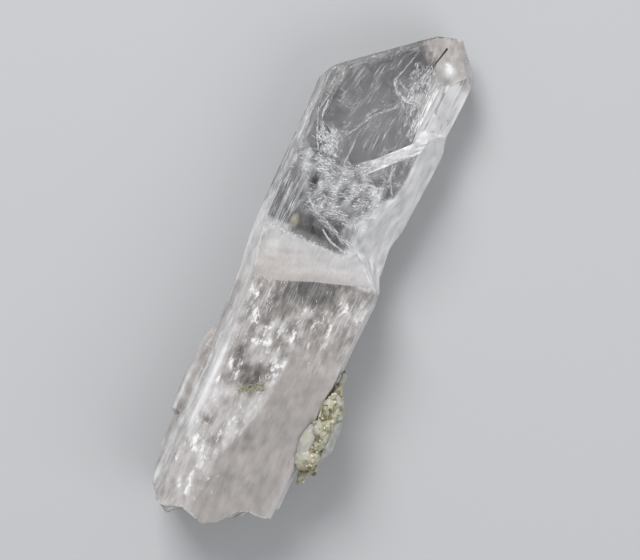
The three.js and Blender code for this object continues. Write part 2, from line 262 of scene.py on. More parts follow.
def slice_along(piece, axis, step):
    """Bisects the whole piece by parallel planes, step mm apart, so that relief can be raised."""
    only(piece)
    bpy.ops.object.mode_set(mode="EDIT")
    normal = Vector((0, 0, 0))
    normal[axis] = 1
    for i in range(1, int((HIGH[axis] - LOW[axis]) / step) + 1):
        bpy.ops.mesh.select_all(action="SELECT")
        bpy.ops.mesh.bisect(plane_co=normal * (LOW[axis] + i * step) * MM, plane_no=normal)
    bpy.ops.object.mode_set(mode="OBJECT")


def displace(piece, group, depth, across, along, detail=1):
    """Raises relief of a depth in metres along the normals, from noise stretched along Y, in mm."""
    texture = bpy.data.textures.new("relief", "CLOUDS")
    texture.noise_basis = "IMPROVED_PERLIN"
    texture.noise_scale = 1.0
    texture.noise_depth = detail
    guide = new_object("relief_guide", None)
    guide.scale = Vector((across, along, across)) * MM
    bpy.context.view_layer.update()
    apply_modifier(
        piece, "DISPLACE", texture=texture, texture_coords="OBJECT", texture_coords_object=guide,
        vertex_group=group, strength=depth, mid_level=0.5,
    )
    bpy.data.objects.remove(guide)


def finish_piece(piece, slot, *replaced, smooth_angle=25):
    only(piece)
    bpy.ops.object.shade_smooth_by_angle(angle=math.radians(smooth_angle))
    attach(piece, "root")
    if replaced:
        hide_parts(*replaced)


# ---- Materials ----


CLEAR = "#FDFBFB"  # what clear crystal lets through at its skin


def rib_bump(tree, across, along, depth):
    """Fine growth ribs, too narrow for the mesh: noise stretched along the crystal, in mm."""
    sockets = {"Scale": 1.0, "Detail": 4.0, "Vector": stretched(tree, across, along)}
    ribs = node(tree, "TexNoise", sockets)
    bump = node(tree, "Bump", {"Distance": depth * MM, "Height": ribs.outputs["Fac"]})
    return bump.outputs["Normal"]


def crystal_shader(tree, look, sockets):
    """Danburite, with the faint body colour that plain absorption gives it."""
    shader = node(tree, "BsdfPrincipled", {"IOR": look.ior, **sockets})
    body = node(tree, "VolumeAbsorption", {"Color": look.tint, "Density": look.density})
    node(tree, "OutputMaterial", {"Surface": shader.outputs[0], "Volume": body.outputs[0]})


def clear_danburite(look):
    """Gem-clear danburite: a grown face, so it is glossy, with the faint ribs of growth."""
    made, tree = material("clear_danburite")
    crystal_shader(tree, look, {
        "Base Color": linear(CLEAR), "Transmission Weight": 1.0, "Roughness": 0.03,
        "Normal": rib_bump(tree, 0.35, 14, 0.012),
    })
    return made


# The grain and the hairs of the real crystal are finer. They are drawn as coarse as it takes to show.
CLOUDS = (  # soft patterns of the milky finish: name, mm across, mm along, detail
    ("grain", 0.35, 1.6, 4.0), ("mottle", 1.2, 2.0, 5.0), ("hairs", 0.17, 7.0, 2.0),
    ("patches", 1.7, 2.6, 2.0),
)
FACETS = (("coarse", 0.42), ("fine", 0.2))  # the facets in the small breaks under the skin, painted as glints: name, mm
PINK_FADES = (38, 44)  # y where the pink tinge of the lower crystal gives way to grey
PINK_RETURNS = (72, 70)  # and where it comes back in the tip
MILK_STEPS = (
    # The milky finish, worked out step by step from the attributes of the mesh and the patterns.
    # Each row has what it gives, the operation and its terms. SHARE is how far the first term has
    # come from the second to the third, from 0 to 1.
    ("swing", "MULTIPLY_ADD", "grain", 0.6, -0.8),
    ("swing", "ADD", "swing", "mottle"),
    ("calm", "SHARE", "milk", 1.0, 0.5),
    ("uneven", "MULTIPLY", "swing", "calm"),
    # halo: a painted glow round the large breaks that catch the light
    ("halo", "MULTIPLY", "shine", 0.12),
    ("turbid", "MULTIPLY", "uneven", "milk"),
    ("turbid", "MULTIPLY_ADD", "turbid", 1.8, "milk"),
    ("turbid", "ADD", "turbid", "halo"),
    ("hairs", "SHARE", "hairs", 0.55, 0.68),
    ("hairs", "MULTIPLY", "hairs", "streaks"),
    ("hairs", "MULTIPLY", "hairs", 0.5),
    ("patches", "SHARE", "patches", 0.46, 0.6),
    ("patches", "MULTIPLY", "patches", "breaks"),
    ("patches", "MULTIPLY", "patches", 0.7),
    # broken to glitter and core: painted glints of the small breaks and of the large ones
    ("broken", "MULTIPLY_ADD", "shine", 0.3, "coarse"),
    ("broken", "SHARE", "broken", 0.62, 0.76),
    ("tilted", "MULTIPLY_ADD", "shine", 0.15, "fine"),
    ("tilted", "SHARE", "tilted", 0.2, 0.8),
    ("glitter", "MULTIPLY", "broken", "tilted"),
    ("bare", "MAXIMUM", "patches", "shine"),
    ("glitter", "MULTIPLY", "glitter", "bare"),
    ("core", "MULTIPLY_ADD", "coarse", 0.5, "shine"),
    ("core", "SHARE", "core", 1.02, 1.2),
    ("glitter", "MAXIMUM", "glitter", "core"),
    ("hairs_and_glitter", "MAXIMUM", "hairs", "glitter"),
    ("hidden", "MULTIPLY_ADD", "hairs_and_glitter", 0.8, "turbid"),
    ("see_through", "SHARE", "hidden", 1.0, 0.0),
    ("body", "SHARE", "hidden", 0.03, 0.15),
    ("shade", "ADD", "tone", "halo"),
    ("shade", "MULTIPLY_ADD", "uneven", 0.6, "shade"),
    ("shade", "MULTIPLY_ADD", "hairs_and_glitter", 0.55, "shade"),
    ("dark_to_milk", "SHARE", "shade", 0.0, 0.5),
    ("milk_to_bright", "SHARE", "shade", 0.5, 1.0),
    ("above", "SHARE", "up", *((y + BASE_Y) * MM for y in PINK_FADES)),
    ("below_tip", "SHARE", "up", *((y + BASE_Y) * MM for y in PINK_RETURNS)),
    ("grey", "MULTIPLY", "above", "below_tip"),
)


def milky_danburite(look):
    """Frosted and milky danburite: etched or turbid, with breaks and streaks under the skin, and painted
    highlights where the breaks catch the light.
    """
    made, tree = material("milky_danburite")
    place = node(tree, "TexCoord").outputs["Object"]
    known = {"up": node(tree, "SeparateXYZ", {0: place}).outputs["Y"]}
    for name in FROST_NAMES:
        known[name] = node(tree, "Attribute", attribute_name=name).outputs["Fac"]
    for name, across, along, detail in CLOUDS:
        sockets = {"Scale": 1.0, "Detail": detail, "Vector": stretched(tree, across, along)}
        known[name] = node(tree, "TexNoise", sockets).outputs["Fac"]
    for name, size in FACETS:
        sockets = {"Scale": 1.0, "Vector": stretched(tree, size, size * 1.7)}
        known[name] = node(tree, "TexVoronoi", sockets).outputs["Color"]
    for name, operation, *terms in MILK_STEPS:
        terms = [known.get(term, term) for term in terms]
        if operation == "SHARE":
            step = node(tree, "MapRange", dict(zip(("Value", "From Min", "From Max"), terms)))
        else:
            step = node(tree, "Math", dict(enumerate(terms)), operation=operation)
        known[name] = step.outputs[0]
    colour = look.milk
    for share, start, end in (
        ("grey", None, look.milk_top), ("dark_to_milk", look.milk_deep, None),
        ("milk_to_bright", None, look.milk_bright), ("body", linear(CLEAR), None),
    ):
        sockets = {0: known[share], MIX_FROM: start or colour, MIX_TO: end or colour}
        colour = node(tree, "Mix", sockets, data_type="RGBA").outputs[MIXED]
    rough = node(tree, "MapRange", {"To Min": 0.05, "To Max": 0.4, "Value": known["hidden"]})
    crystal_shader(tree, look, {
        "Base Color": colour, "Roughness": rough.outputs["Result"],
        "Transmission Weight": known["see_through"], "Normal": rib_bump(tree, 0.3, 9, 0.025),
    })
    return made


def worn_edge(look):
    """Edges of the crystal, worn and chipped to a fine matt line that catches the light."""
    made, tree = material("worn_edge")
    sockets = {"Scale": 1.0, "Vector": stretched(tree, 0.3, 1.5)}
    wear = node(tree, "TexNoise", sockets).outputs["Fac"]
    bare = node(tree, "MapRange", {"Value": wear, "From Min": 0.3, "From Max": 0.75})
    rough = node(tree, "MapRange", {"Value": wear, "From Min": 0.1, "From Max": 1.4})
    crystal_shader(tree, look, {
        "Base Color": linear("#F1EEEE"), "Transmission Weight": bare.outputs["Result"],
        "Roughness": rough.outputs["Result"],
    })
    return made


def mineral(name, shades, roughness, patches=None):
    """An opaque mineral, dull and finely pitted. Its colour wanders between shades over patches of a
    size in mm. Without patches, each place has its own shade from an attribute of the mesh."""
    made, tree = material(name)
    # The real pits are too fine to show, so they are drawn as wide as the patches, or 0.15 mm.
    if patches:
        sockets = {"Scale": 1.0, "Detail": 5.0, "Vector": stretched(tree, patches, patches)}
        relief = node(tree, "TexNoise", sockets).outputs["Fac"]
        sockets = {"Value": relief, "From Min": 0.35, "From Max": 0.65}
        shade = node(tree, "MapRange", sockets).outputs["Result"]
        depth = 0.03
    else:
        sockets = {"Scale": 1.0, "Vector": stretched(tree, 0.15, 0.15)}
        relief = node(tree, "TexNoise", sockets).outputs["Fac"]
        shade = node(tree, "Attribute", attribute_name="shade").outputs["Fac"]
        depth = 0.02
    colour, *lighter = shades
    for i, light in enumerate(lighter):
        sockets = {"Value": shade, "From Min": i / len(lighter), "From Max": (i + 1) / len(lighter)}
        share = node(tree, "MapRange", sockets).outputs["Result"]
        sockets = {0: share, MIX_FROM: colour, MIX_TO: light}
        colour = node(tree, "Mix", sockets, data_type="RGBA").outputs[MIXED]
    bump = node(tree, "Bump", {"Distance": depth * MM, "Height": relief}).outputs["Normal"]
    sockets = {"Base Color": colour, "Normal": bump, "Roughness": roughness}
    shader = node(tree, "BsdfPrincipled", sockets)
    node(tree, "OutputMaterial", {"Surface": shader.outputs[0]})
    return made


# ---- The crystal ----


FROST_NAMES = ("milk", "tone", "breaks", "streaks", "shine")
# How the surface looks at a place, each from 0 to 1: milk, how much it hides what is under it; tone,
# how bright it is, with painted highlights and painted shade in it; breaks, how many small breaks it
# has, which the material paints with glints; streaks, how many lines along the crystal; shine, a painted
# highlight where one of the large breaks catches the light. In the functions below, x, y and z are
# compared with places in mm, and all that is added up and returned is such a share.


def blend(frost, other, share):
    """A mix of two lists of values, with this share of the other one."""
    return tuple(a + (b - a) * share for a, b in zip(frost, other))


def spots_shade_and_highlights_at(x, y):
    """How much lighter the spots make a place: dark spots, painted shade and painted highlights."""
    return sum(lighter * spot(x, y, centre, radius) for *centre, radius, lighter in SPOTS_SHADE_AND_HIGHLIGHTS)


def bands_and_highlights_at(x, y):
    """How much lighter the growth bands and the painted highlights along the left make a place."""
    return sum(
        lighter * plateau(start, start + 1.5, end - 1.5, end, y) * bell(x, middle, half)
        for middle, half, start, end, lighter in BANDS_AND_HIGHLIGHTS
    )


def shine_at(x, y):
    """How much of the painted highlight of a large break is at a place. The wider it is, the brighter its
    core.
    """
    most = 0.0
    for ax, ay, bx, by, width in GLINTS:
        if abs(y - ay) > 4:
            continue
        dx, dy = bx - ax, by - ay
        t = min(1.0, max(0.0, ((x - ax) * dx + (y - ay) * dy) / (dx * dx + dy * dy)))
        off = math.dist((x, y), (ax + dx * t, ay + dy * t))
        most = max(most, min(1.0, 0.48 + width) * bell(off, 0, width))
    return most


def frost_lower(x, y, z, normal, wander, patch):
    """The lower crystal: streaked and full of breaks at the left, milky pink at the right, with a painted
    highlight on its ridge, painted shade under the ledge and a right flank painted lighter.
    """
    spots_shade_and_highlights = spots_shade_and_highlights_at(x, y)
    bands_and_highlights = bands_and_highlights_at(x, y)
    ridge = bell(x, *RIDGE) * plateau(11, 14, 24, 26.5, y)
    if normal.z < 0.8:
        if x < -9.2 and 11.5 < y < 27.6 and z < 10:  # the small crystal at the left
            return 0.8 + 0.1 * wander, 0.58 + 0.12 * wander + bands_and_highlights, 0.1, 0.2
        if x < 0:  # the left flank
            flank = (0.74 + 0.1 * wander, 0.63 + 0.08 * wander + bands_and_highlights, 0.1, 0.15)
            return blend(flank, RIDGE_HIGHLIGHT, ridge)
        # the right flank: painted lighter to offset the shade it lies in, turned away from the key light
        return 0.84, 0.84 + 0.06 * wander, 0.0, 0.1
    pink = ramp(-0.3, 0.4, x - between(LEAN_EDGE, y)) * ramp(32, 25, y + 2 * patch)
    pink = max(pink, 0.75 * ramp(2.5, 5, x) * ramp(37, 27, y + 3 * patch))
    under = ramp(25, 31, y)
    clear = sum(spot(x, y, (a, b), r) for a, b, r in CLEARER)
    low = ramp(12, 7, y)
    tone = 0.68 - 0.08 * low + 0.1 * patch + 0.12 * wander + bands_and_highlights
    left = (0.78 + 0.1 * patch, tone, 0.5 - 0.3 * low, 0.15)
    left = blend(left, (0.36 + 0.3 * patch, 0.5 + 0.3 * patch, 0.9, 0.2), min(1.0, clear))
    body = blend(left, (0.62 + 0.2 * patch, 0.58 + 0.2 * patch + bands_and_highlights, 0.7, 0.4), under)
    body = blend(body, (0.84 + 0.06 * patch, 0.4 + 0.06 * patch + 0.08 * wander, 0.0, 0.05), pink)
    body = blend(body, RIDGE_HIGHLIGHT, ridge)
    off_ledge = between(LEDGE_FOOT, x) - y
    shadow = ramp(4.8, 2.0, off_ledge) * plateau(-3.6, -1.8, 3.0, 6.0, x)
    shadow = max(shadow, spot(x, y, (-1.7, 33.8), 1.6))
    body = blend(body, (0.5, 0.22 + 0.1 * patch, 0.3, 0.7), 0.85 * shadow)
    edge_glow = 0.12 * ramp(7.5, 9.0, x)
    return body[0], body[1] + spots_shade_and_highlights + edge_glow, body[2], body[3]


def frost_middle(x, y, wander, patch):
    """The front of the middle crystal: clear, with mottled feathers, and frosted at the right."""
    edge = between(RIGHT_EDGE, y)
    clearer = spot(x, y, (4.6, 56.5), 2.6) + spot(x, y, (-1.5, 44.6), 2.3)
    stripes = ramp(-5.8, -6.6, x) * ramp(52, 49, y)
    milk = (0.32 + 0.42 * patch + 0.15 * wander) * ramp(43.5, 48.5, y) * (1 - 0.8 * min(1, clearer))
    frost = (milk, 0.76 + 0.16 * patch, 0.7 * ramp(44.5, 49, y) * (1 - 0.6 * min(1, clearer)), 0.1)
    bands_and_highlights = bands_and_highlights_at(x, y)
    frost = blend(frost, (0.16 + 1.4 * bands_and_highlights, 0.62 + bands_and_highlights, 0.1, 0.7), stripes)
    lip = ramp(44.2, 43.2, y) * (0.3 + 0.7 * ramp(-4.6, -6.2, x))
    frost = blend(frost, (0.85, 0.66, 0.2, 0.1), lip)
    inward = edge - x + 0.6 * patch + 0.4 * wander
    reach = 0.5 + 2.4 * ramp(54, 50, y)
    return blend(frost, (0.84, 0.78 + 0.2 * patch, 0.3, 0.03), ramp(reach, 0.1, inward))


def frost_top(x, y, patch):
    """The front of the clear top: a window, with breaks at its left end and its frosted right."""
    edge = between(RIGHT_EDGE, y)
    shell = spot(x, y, (-5.7, 56.7), 1.6)
    inside = (between(END_FACE, x) - y) * 0.76
    fringe = ramp(1.5, 0.1, inside) * ramp(2.5, 0, x)
    right = ramp(2.4, 0.2, edge - x) * ramp(60, 64, y)
    veil = spot(x, y, (2.6, 67.2), 1.5) + 0.7 * spot(x, y, (3.4, 70.4), 1.3)
    milk = (0.6 * shell + 0.42 * right + 0.1 * fringe + 0.36 * veil) * (1 + patch)
    breaks = 0.3 + 0.6 * shell + 0.5 * right + 0.6 * fringe + 0.6 * veil
    tone = 0.8 + 0.1 * right + 0.1 * shell + 0.1 * veil
    return milk, tone, breaks, min(1.0, 0.34 + 0.5 * shell + 0.55 * right)


def frost_at(place, normal):
    """How the surface looks at a place: the values that FROST_NAMES lists."""
    x, y, z = place
    wander = noise.noise(Vector((x * 0.45, y * 0.22, z * 0.5)))
    patch = noise.noise(Vector((x * 0.9, y * 0.6, z * 0.9 + 7)))
    foot = between(LEDGE_FOOT, x)
    spots_shade_and_highlights = spots_shade_and_highlights_at(x, y)
    if normal.z < -0.25:  # the back: turbid toward the base, clear under the window
        turbid = max(ramp(56, 44, y), 0.5 * ramp(66, 60, y) * ramp(-0.2, -0.3, normal.x))
        milk = 0.03 + turbid * (0.6 + 0.35 * wander)
        return milk, 0.5 + 0.2 * wander, 0.35 * turbid, 0.45 * turbid, 0.0
    shine = shine_at(x, y) if normal.z > 0.5 else 0.0
    if y < 7 and normal.y < -0.3:  # the broken base
        return 0.62 + 0.2 * patch, 0.72 + 0.25 * patch, 0.5, 0.0, 0.0
    ledge = ramp(0.955, 0.985, normal.dot(LEDGE)) * plateau(34.2, 34.8, 44.2, 45, y)
    if ledge > 0:
        glow = 0.03 * ramp(1, 6, x) - 0.05 * ramp(-3, -8, x) - 0.12 * ramp(1.8, 0.0, y - foot)
        glow += 0.08 * noise.noise(Vector((x * 0.35 - y * 0.1, y * 1.4 - x * 0.45, 2.0)))
        ledge *= 1 - 0.5 * ramp(-7.4, -8.6, x)
        below = frost_lower(x, y, z, normal, wander, patch)
        return *blend(below, (0.92, 0.56 + glow + spots_shade_and_highlights, 0.0, 0.1), ledge), 0.0
    flank = (0.8 + 0.1 * wander, 0.74 + 0.08 * wander + bands_and_highlights_at(x, y), 0.1, 0.15, 0.0)
    if x < -7.4 and 34 < y < 44 and normal.z < 0.93:  # the flank beside the ledge
        return flank
    if y < foot + 0.3:
        milk, tone, breaks, streaks = frost_lower(x, y, z, normal, wander, patch)
        # painted shade: darker just under the foot of the ledge
        return milk, tone - 0.2 * ramp(1.8, 0.0, foot - y), breaks, streaks, shine
    if normal.dot(NOTCH_RIGHT) > 0.97 and 53 < y < 63.5 and x > -1.4:
        fade = ramp(-1.4, 3.0, x)
        return 0.34 + 0.42 * fade + 0.1 * patch, 0.72 + 0.12 * fade + 0.1 * patch, 0.4, 0.0, 0.0
    if normal.dot(NOTCH_SILL) > 0.97 and y < 55.5:
        return 0.3 + 0.3 * patch, 0.8, 1.0, 0.0, shine
    if normal.dot(NOTCH_LEFT) > 0.98 and 54 < y < 61 and x < -0.5:
        haze = ramp(-6.2, -4.6, x)
        return 0.15 + 0.06 * patch + 0.15 * haze, 0.3 + 0.35 * haze, 0.2, 0.3, shine
    off_band = abs(off_line(BAND_END, x, y))
    if x > 5.8 and off_band < 1.3 and 60.5 < y < 64.6:  # the right end of the diagonal ledge
        return 0.84, 0.8 + 0.1 * ramp(1.3, 0.4, off_band), 0.2, 0.0, 0.0
    if normal.dot(TIP_FACET) > 0.98 and y > 70:
        off_foot = off_line(TIP_FACET_FOOT, x, y)
        milk = 0.15 + 0.67 * max(ramp(-0.1, 2.2, off_foot), ramp(2.8, 4.2, x)) + 0.05 * patch
        return milk, 0.56 + spots_shade_and_highlights + 0.08 * patch, 0.3 * ramp(2.5, 0.5, off_foot), 0.0, shine
    if normal.dot(TIP_SMALL) > 0.98 and y > 69:
        return 0.76 + 0.05 * patch, 0.74 + spots_shade_and_highlights, 0.0, 0.0, 0.0
    if normal.dot(TIP_STRIP) > 0.97 and y > 72:
        return 0.72, 0.7 + 0.1 * patch, 0.1, 0.1, 0.0
    if x < -9.1 and normal.x < -0.2:  # the left flank, clearer above the ledge
        upper = (0.46 + 0.15 * wander, 0.6 + 0.1 * wander + bands_and_highlights_at(x, y), 0.1, 0.5, 0.0)
        return blend(flank, upper, ramp(43, 50, y))
    if normal.x > 0.3 or x > between(RIGHT_EDGE, y) - 0.15:  # the frosted right side
        if y < 63.5:
            # painted light: the steeper faces, turned away from the key light, are painted lighter
            tilt = 0.22 * ramp(0.95, 0.6, normal.z)
            return 0.84 + 0.08 * patch, 0.7 + tilt + 0.2 * patch + spots_shade_and_highlights, 0.25, 0.03, 0.0
        dull = ramp(70.8, 72.2, y)
        tone = 0.86 + 0.1 * ramp(6.2, 6.8, x) - 0.3 * dull + 0.12 * wander + spots_shade_and_highlights
        return 0.74 + 0.15 * wander, tone, 0.3, 1.0 - 0.6 * dull, shine
    if normal.z < 0.5:  # the upright end faces
        return 0.0, 0.6, 0.0, 0.0, 0.0
    if z > FRONT_TOP + 0.4 and y < 61:
        return *frost_middle(x, y, wander, patch), shine
    return *frost_top(x, y, patch), shine


def relief_weights(place, normal):
    """How strongly growth ribs, broken relief and etching work at a place on the crystal."""
    x, y, z = place
    front = normal.z > 0.8
    ribs = 1.0
    if z < 0.3:
        ribs = 0.0
    elif front:
        ribs = 0.5 if y < between(LEDGE_FOOT, x) else 0.1
    hackles = 0.0
    if front and y < 57:
        hackles = plateau(-6.8, -6, 1, 3, x) * ramp(36.5, 34, y)
        hackles += 0.9 * plateau(45, 48, 54.5, 56, y) * ramp(5, 3.5, x)
    frosted_side = ramp(-1.2, -0.2, x - between(RIGHT_EDGE, y))
    etched = frosted_side * plateau(43, 45, 62.5, 64, y) * ramp(3, 5, z)
    return ribs, min(1.0, hackles), etched


FINISHES = (clear_danburite, milky_danburite, worn_edge)
CLEAR_FACE, MILKY_FACE, EDGE_FACE = range(3)  # their slots
LEAST_MILK = 0.03  # a face with less milk than this is clear
HIDDEN_EDGE = 0.6  # more milk than this hides the worn edge
RIBS = ((1.0, 0.9, 28), (0.45, 0.4, 9))  # broad and fine ribs: share of the depth, mm across, mm along


def build_crystal(settings):
    """The crystal: the CAD solid with worn edges, a fine mesh for its relief, and its finishes."""
    form = settings.form
    crystal = merged_copy("danburite_crystal", "danburite")
    for finish in FINISHES:
        crystal.data.materials.append(finish(settings.look))
    apply_modifier(
        crystal, "BEVEL", width=form.edge_wear, segments=1, limit_method="ANGLE", material=EDGE_FACE,
        angle_limit=math.radians(16), use_clamp_overlap=True,
    )
    slice_along(crystal, 1, form.grid_along / MM)
    slice_along(crystal, 0, form.grid_across / MM)
    slice_along(crystal, 2, form.grid_across / MM)
    groups = [crystal.vertex_groups.new(name=name) for name in ("ribbed", "hackly", "worn")]
    frost = []
    for vertex in crystal.data.vertices:
        place = place_of(vertex.co)
        for group, weight in zip(groups, relief_weights(place, vertex.normal)):
            group.add([vertex.index], weight, "REPLACE")
        frost.append(frost_at(place, vertex.normal))
    for name, values in zip(FROST_NAMES, zip(*frost)):
        keep(crystal, name, values)
    for face in crystal.data.polygons:
        most = max(frost[i][0] for i in face.vertices)
        if face.material_index != EDGE_FACE or most > HIDDEN_EDGE:
            face.material_index = MILKY_FACE if most > LEAST_MILK else CLEAR_FACE
    for share, across, along in RIBS:
        displace(crystal, "ribbed", form.rib_depth * share, across, along)
    displace(crystal, "hackly", form.hackle_depth, 1.0, 1.5, detail=2)
    apply_modifier(crystal, "SMOOTH", vertex_group="worn", factor=0.5, iterations=form.wear_rounds)
    finish_piece(crystal, "danburite", "danburite_crystal", smooth_angle=16)


# ---- Inside the crystal ----


def strip_shape():
    """A flat strip one unit long and wide that narrows to its ends, lying in XY along Y."""
    shape = primitive("grid", x_subdivisions=1, y_subdivisions=2, size=1)
    for vertex in shape.data.vertices:
        vertex.co.x *= 1 - (2 * vertex.co.y) ** 2 * 0.85
    return shape


def copies(name, shapes, placements, finish):
    """One joined mesh of copies of small shapes. Each placement is a function of a point and a
    shade, kept as an attribute that the material reads. The shapes are taken in turn."""
    kinds = []
    for shape in shapes:
        faces = [tuple(face.vertices) for face in shape.data.polygons]
        kinds.append(([vertex.co.copy() for vertex in shape.data.vertices], faces))
        bpy.data.objects.remove(shape)
    points, polygons, shades = [], [], []
    for turn, (place, shade) in enumerate(placements):
        corners, faces = kinds[turn % len(kinds)]
        start = len(points)
        points.extend(place(corner) for corner in corners)
        polygons.extend(tuple(start + i for i in face) for face in faces)
        shades.extend([shade] * len(corners))
    mesh = bpy.data.meshes.new(name)
    mesh.from_pydata(points, [], polygons)
    mesh.materials.append(finish)
    piece = new_object(name, mesh)
    keep(piece, "shade", shades)
    return piece


FLUSH = -0.012  # the depth of a strip that lies on the skin
LEAST_OVER, LEAST_UNDER = 0.03, 0.4  # mm of crystal that stay over and under a sealed strip
ABOVE = 30  # a height well over the crystal


def front_at(x, y):
    """The point and the normal of the crystal's front over a place, or None off the crystal."""
    hit, point, normal, _ = bpy.data.objects["danburite"].ray_cast(at(x, y, ABOVE), Vector((0, 0, -1)))
    return (point, normal) if hit else None


def stroke(x, y, depth, length, width, turn=0.0, curve=0.0, tilt=(0.0, 0.0)):
    """Puts a strip depth mm under the crystal's front, or flush on it. turn is from the long axis."""
    found = front_at(x, y)
    if found is None or found[0].z < (depth + LEAST_UNDER) * MM:
        return None
    centre = found[0] - Vector((0, 0, depth)) * MM
    for end in (-length / 2, length / 2):
        tip = front_at(x - end * math.sin(turn), y + end * math.cos(turn))
        if tip is None or (depth > 0 and tip[0].z < centre.z + LEAST_OVER * MM):
            return None
    spin = Euler((*tilt, turn)).to_matrix()
    if depth <= 0:
        spin = Vector((0, 0, 1)).rotation_difference(found[1]).to_matrix() @ spin

    def place(corner):
        bend = curve * (corner.y * 2) ** 2 * length
        return centre + spin @ (Vector((corner.x * width + bend, corner.y * length, 0)) * MM)

    return place


def near_path(rng, path, spread):
    """A random place near a bent line, and the line's direction there from the long axis."""
    lengths = [math.dist(a, b) for a, b in zip(path, path[1:])]
    leg = rng.choices(range(len(lengths)), lengths)[0]
    (ax, ay), (bx, by) = path[leg], path[leg + 1]
    t = rng.random()
    heading = math.atan2(-(bx - ax), by - ay)
    off = rng.gauss(0, spread)
    x = ax + (bx - ax) * t + off * math.cos(heading)
    return x, ay + (by - ay) * t + off * math.sin(heading), heading


CRACKS = [  # healed cracks: flakes, spread, length, width, deepest, lean with depth, share flush, path
    (400, 0.16, 0.5, 0.07, 1.2, 0.1, 0.32, (-0.9, 68.4), (-0.2, 67.3), (0.8, 66.7), (1.6, 66.3),
        (2.6, 66.6), (3.6, 66.9)),
    (120, 0.03, 0.7, 0.045, 0.5, 0.05, 0.18, (0.5, 73.4), (-0.1, 71), (-0.7, 68.9), (-0.9, 68.3)),
    (280, 0.26, 0.5, 0.065, 1.5, 0.2, 0.28, (1.7, 66.2), (1.9, 68), (2.6, 70), (2.9, 71.6)),
    (150, 0.3, 0.5, 0.038, 2, 0.2, 0.12, (-0.8, 68.2), (0.6, 69.2), (1.7, 70.4), (2.4, 71.5)),
    (90, 0.2, 0.4, 0.045, 1, 0.1, 0.18, (-0.4, 68.6), (0.6, 68), (1.3, 67.6)),
    (160, 0.25, 0.5, 0.053, 1.5, 0.1, 0.18, (3.4, 67), (3.1, 68.6), (2.8, 70.4)),
    (150, 0.15, 0.6, 0.045, 1, 0.1, 0.18, (4.4, 68), (3.8, 69.9), (3.2, 71.4)),
    (260, 0.03, 0.5, 0.05, 0.3, -0.1, 0.4, (0.9, 64.9), (-0.8, 63.3), (-1.6, 62.5), (-2.6, 60.5),
        (-3.5, 58.9)),
    (150, 0.22, 0.8, 0.03, 1, -0.4, 0.09, (0.3, 64.9), (-1.2, 63.6), (-2.2, 62), (-3, 60.2)),
    (60, 0.12, 0.3, 0.053, 0.3, 0, 0.24, (-2.4, 62.6), (-1.7, 62)),
    (140, 0.18, 0.4, 0.06, 0.5, 0, 0.18, (0.8, 64.8), (1.3, 65.9), (2.2, 65.4)),
    (110, 0.02, 0.8, 0.07, 0.2, 0.02, 0.6, (-2.35, 54.8), (-2.35, 57.8)),
    (60, 0.02, 0.7, 0.045, 0.3, 0.02, 0.3, (-2.35, 57.4), (-2.4, 59.6)),
    (210, 0.22, 0.6, 0.06, 1, 0.2, 0.24, (4.6, 61.5), (4.2, 64.4), (4.5, 66.5)),
    (90, 0.25, 1.1, 0.038, 0.8, 0.1, 0.18, (3, 61), (2.8, 66)),
    (420, 0.16, 0.8, 0.053, 1.2, 0.2, 0.21, (-5.2, 48.4), (-2, 46.6), (0.5, 45.4), (4, 44.2)),
    (270, 0.05, 0.7, 0.06, 0.4, 0.1, 0.3, (-1.2, 45.1), (0.5, 44), (3.2, 43.4)),
    (210, 0.25, 1, 0.038, 1.2, 0.3, 0.21, (-4.2, 47.2), (-1, 45.8), (3.6, 44.8)),
    (190, 0.25, 0.8, 0.045, 1.2, 0.3, 0.3, (-3.4, 49.6), (-0.4, 48), (2.4, 47.2)),
    (190, 0.25, 0.6, 0.06, 1, 0.2, 0.3, (-4.6, 50.9), (-2, 50.2), (1, 50.9)),
    (210, 0.3, 0.6, 0.06, 1, 0.2, 0.36, (-2.4, 52), (0.5, 52.6), (3.6, 53.6)),
    (130, 0.07, 0.6, 0.045, 0.5, 0.1, 0.24, (3.7, 57.8), (4.4, 55.5), (5.6, 53.4)),
    (90, 0.04, 0.7, 0.038, 0.4, 0, 0.24, (4.4, 58.2), (4.2, 55.2)),
    (250, 0.05, 0.5, 0.068, 0.4, 0.1, 0.24, (-9, 60.6), (-8.2, 58.4), (-7.4, 56.6), (-6.4, 54.9)),
    (190, 0.3, 0.7, 0.045, 0.8, 0.1, 0.3, (-7.8, 58.6), (-6.2, 57.2), (-4.6, 56.6)),
    (120, 0.12, 0.5, 0.053, 0.5, 0.1, 0.3, (-5.9, 55.2), (-3.4, 55.4)),
    (310, 0.22, 1.3, 0.068, 0.6, 0, 0.48, (-1.6, 53.5), (3.4, 57.7), (7.2, 61.3)),
    (190, 0.05, 1.2, 0.053, 0.3, 0, 0.48, (-2, 54.2), (4.2, 59.6), (8.7, 63.6)),
    (300, 0.16, 0.35, 0.06, 0.2, 0, 0.7, (-8.6, 42.8), (-6, 42.8), (-4, 42.85), (0.5, 42.82), (3.2, 42.8)),
    (160, 0.5, 0.9, 0.1, 0.5, 0, 0.5, (-7.4, 57.6), (-6, 57), (-4.4, 55.8)),
    (480, 0.35, 0.5, 0.053, 0.8, 0, 0.36, (-8.6, 53.4), (-5, 53.8), (-1, 54)),
]
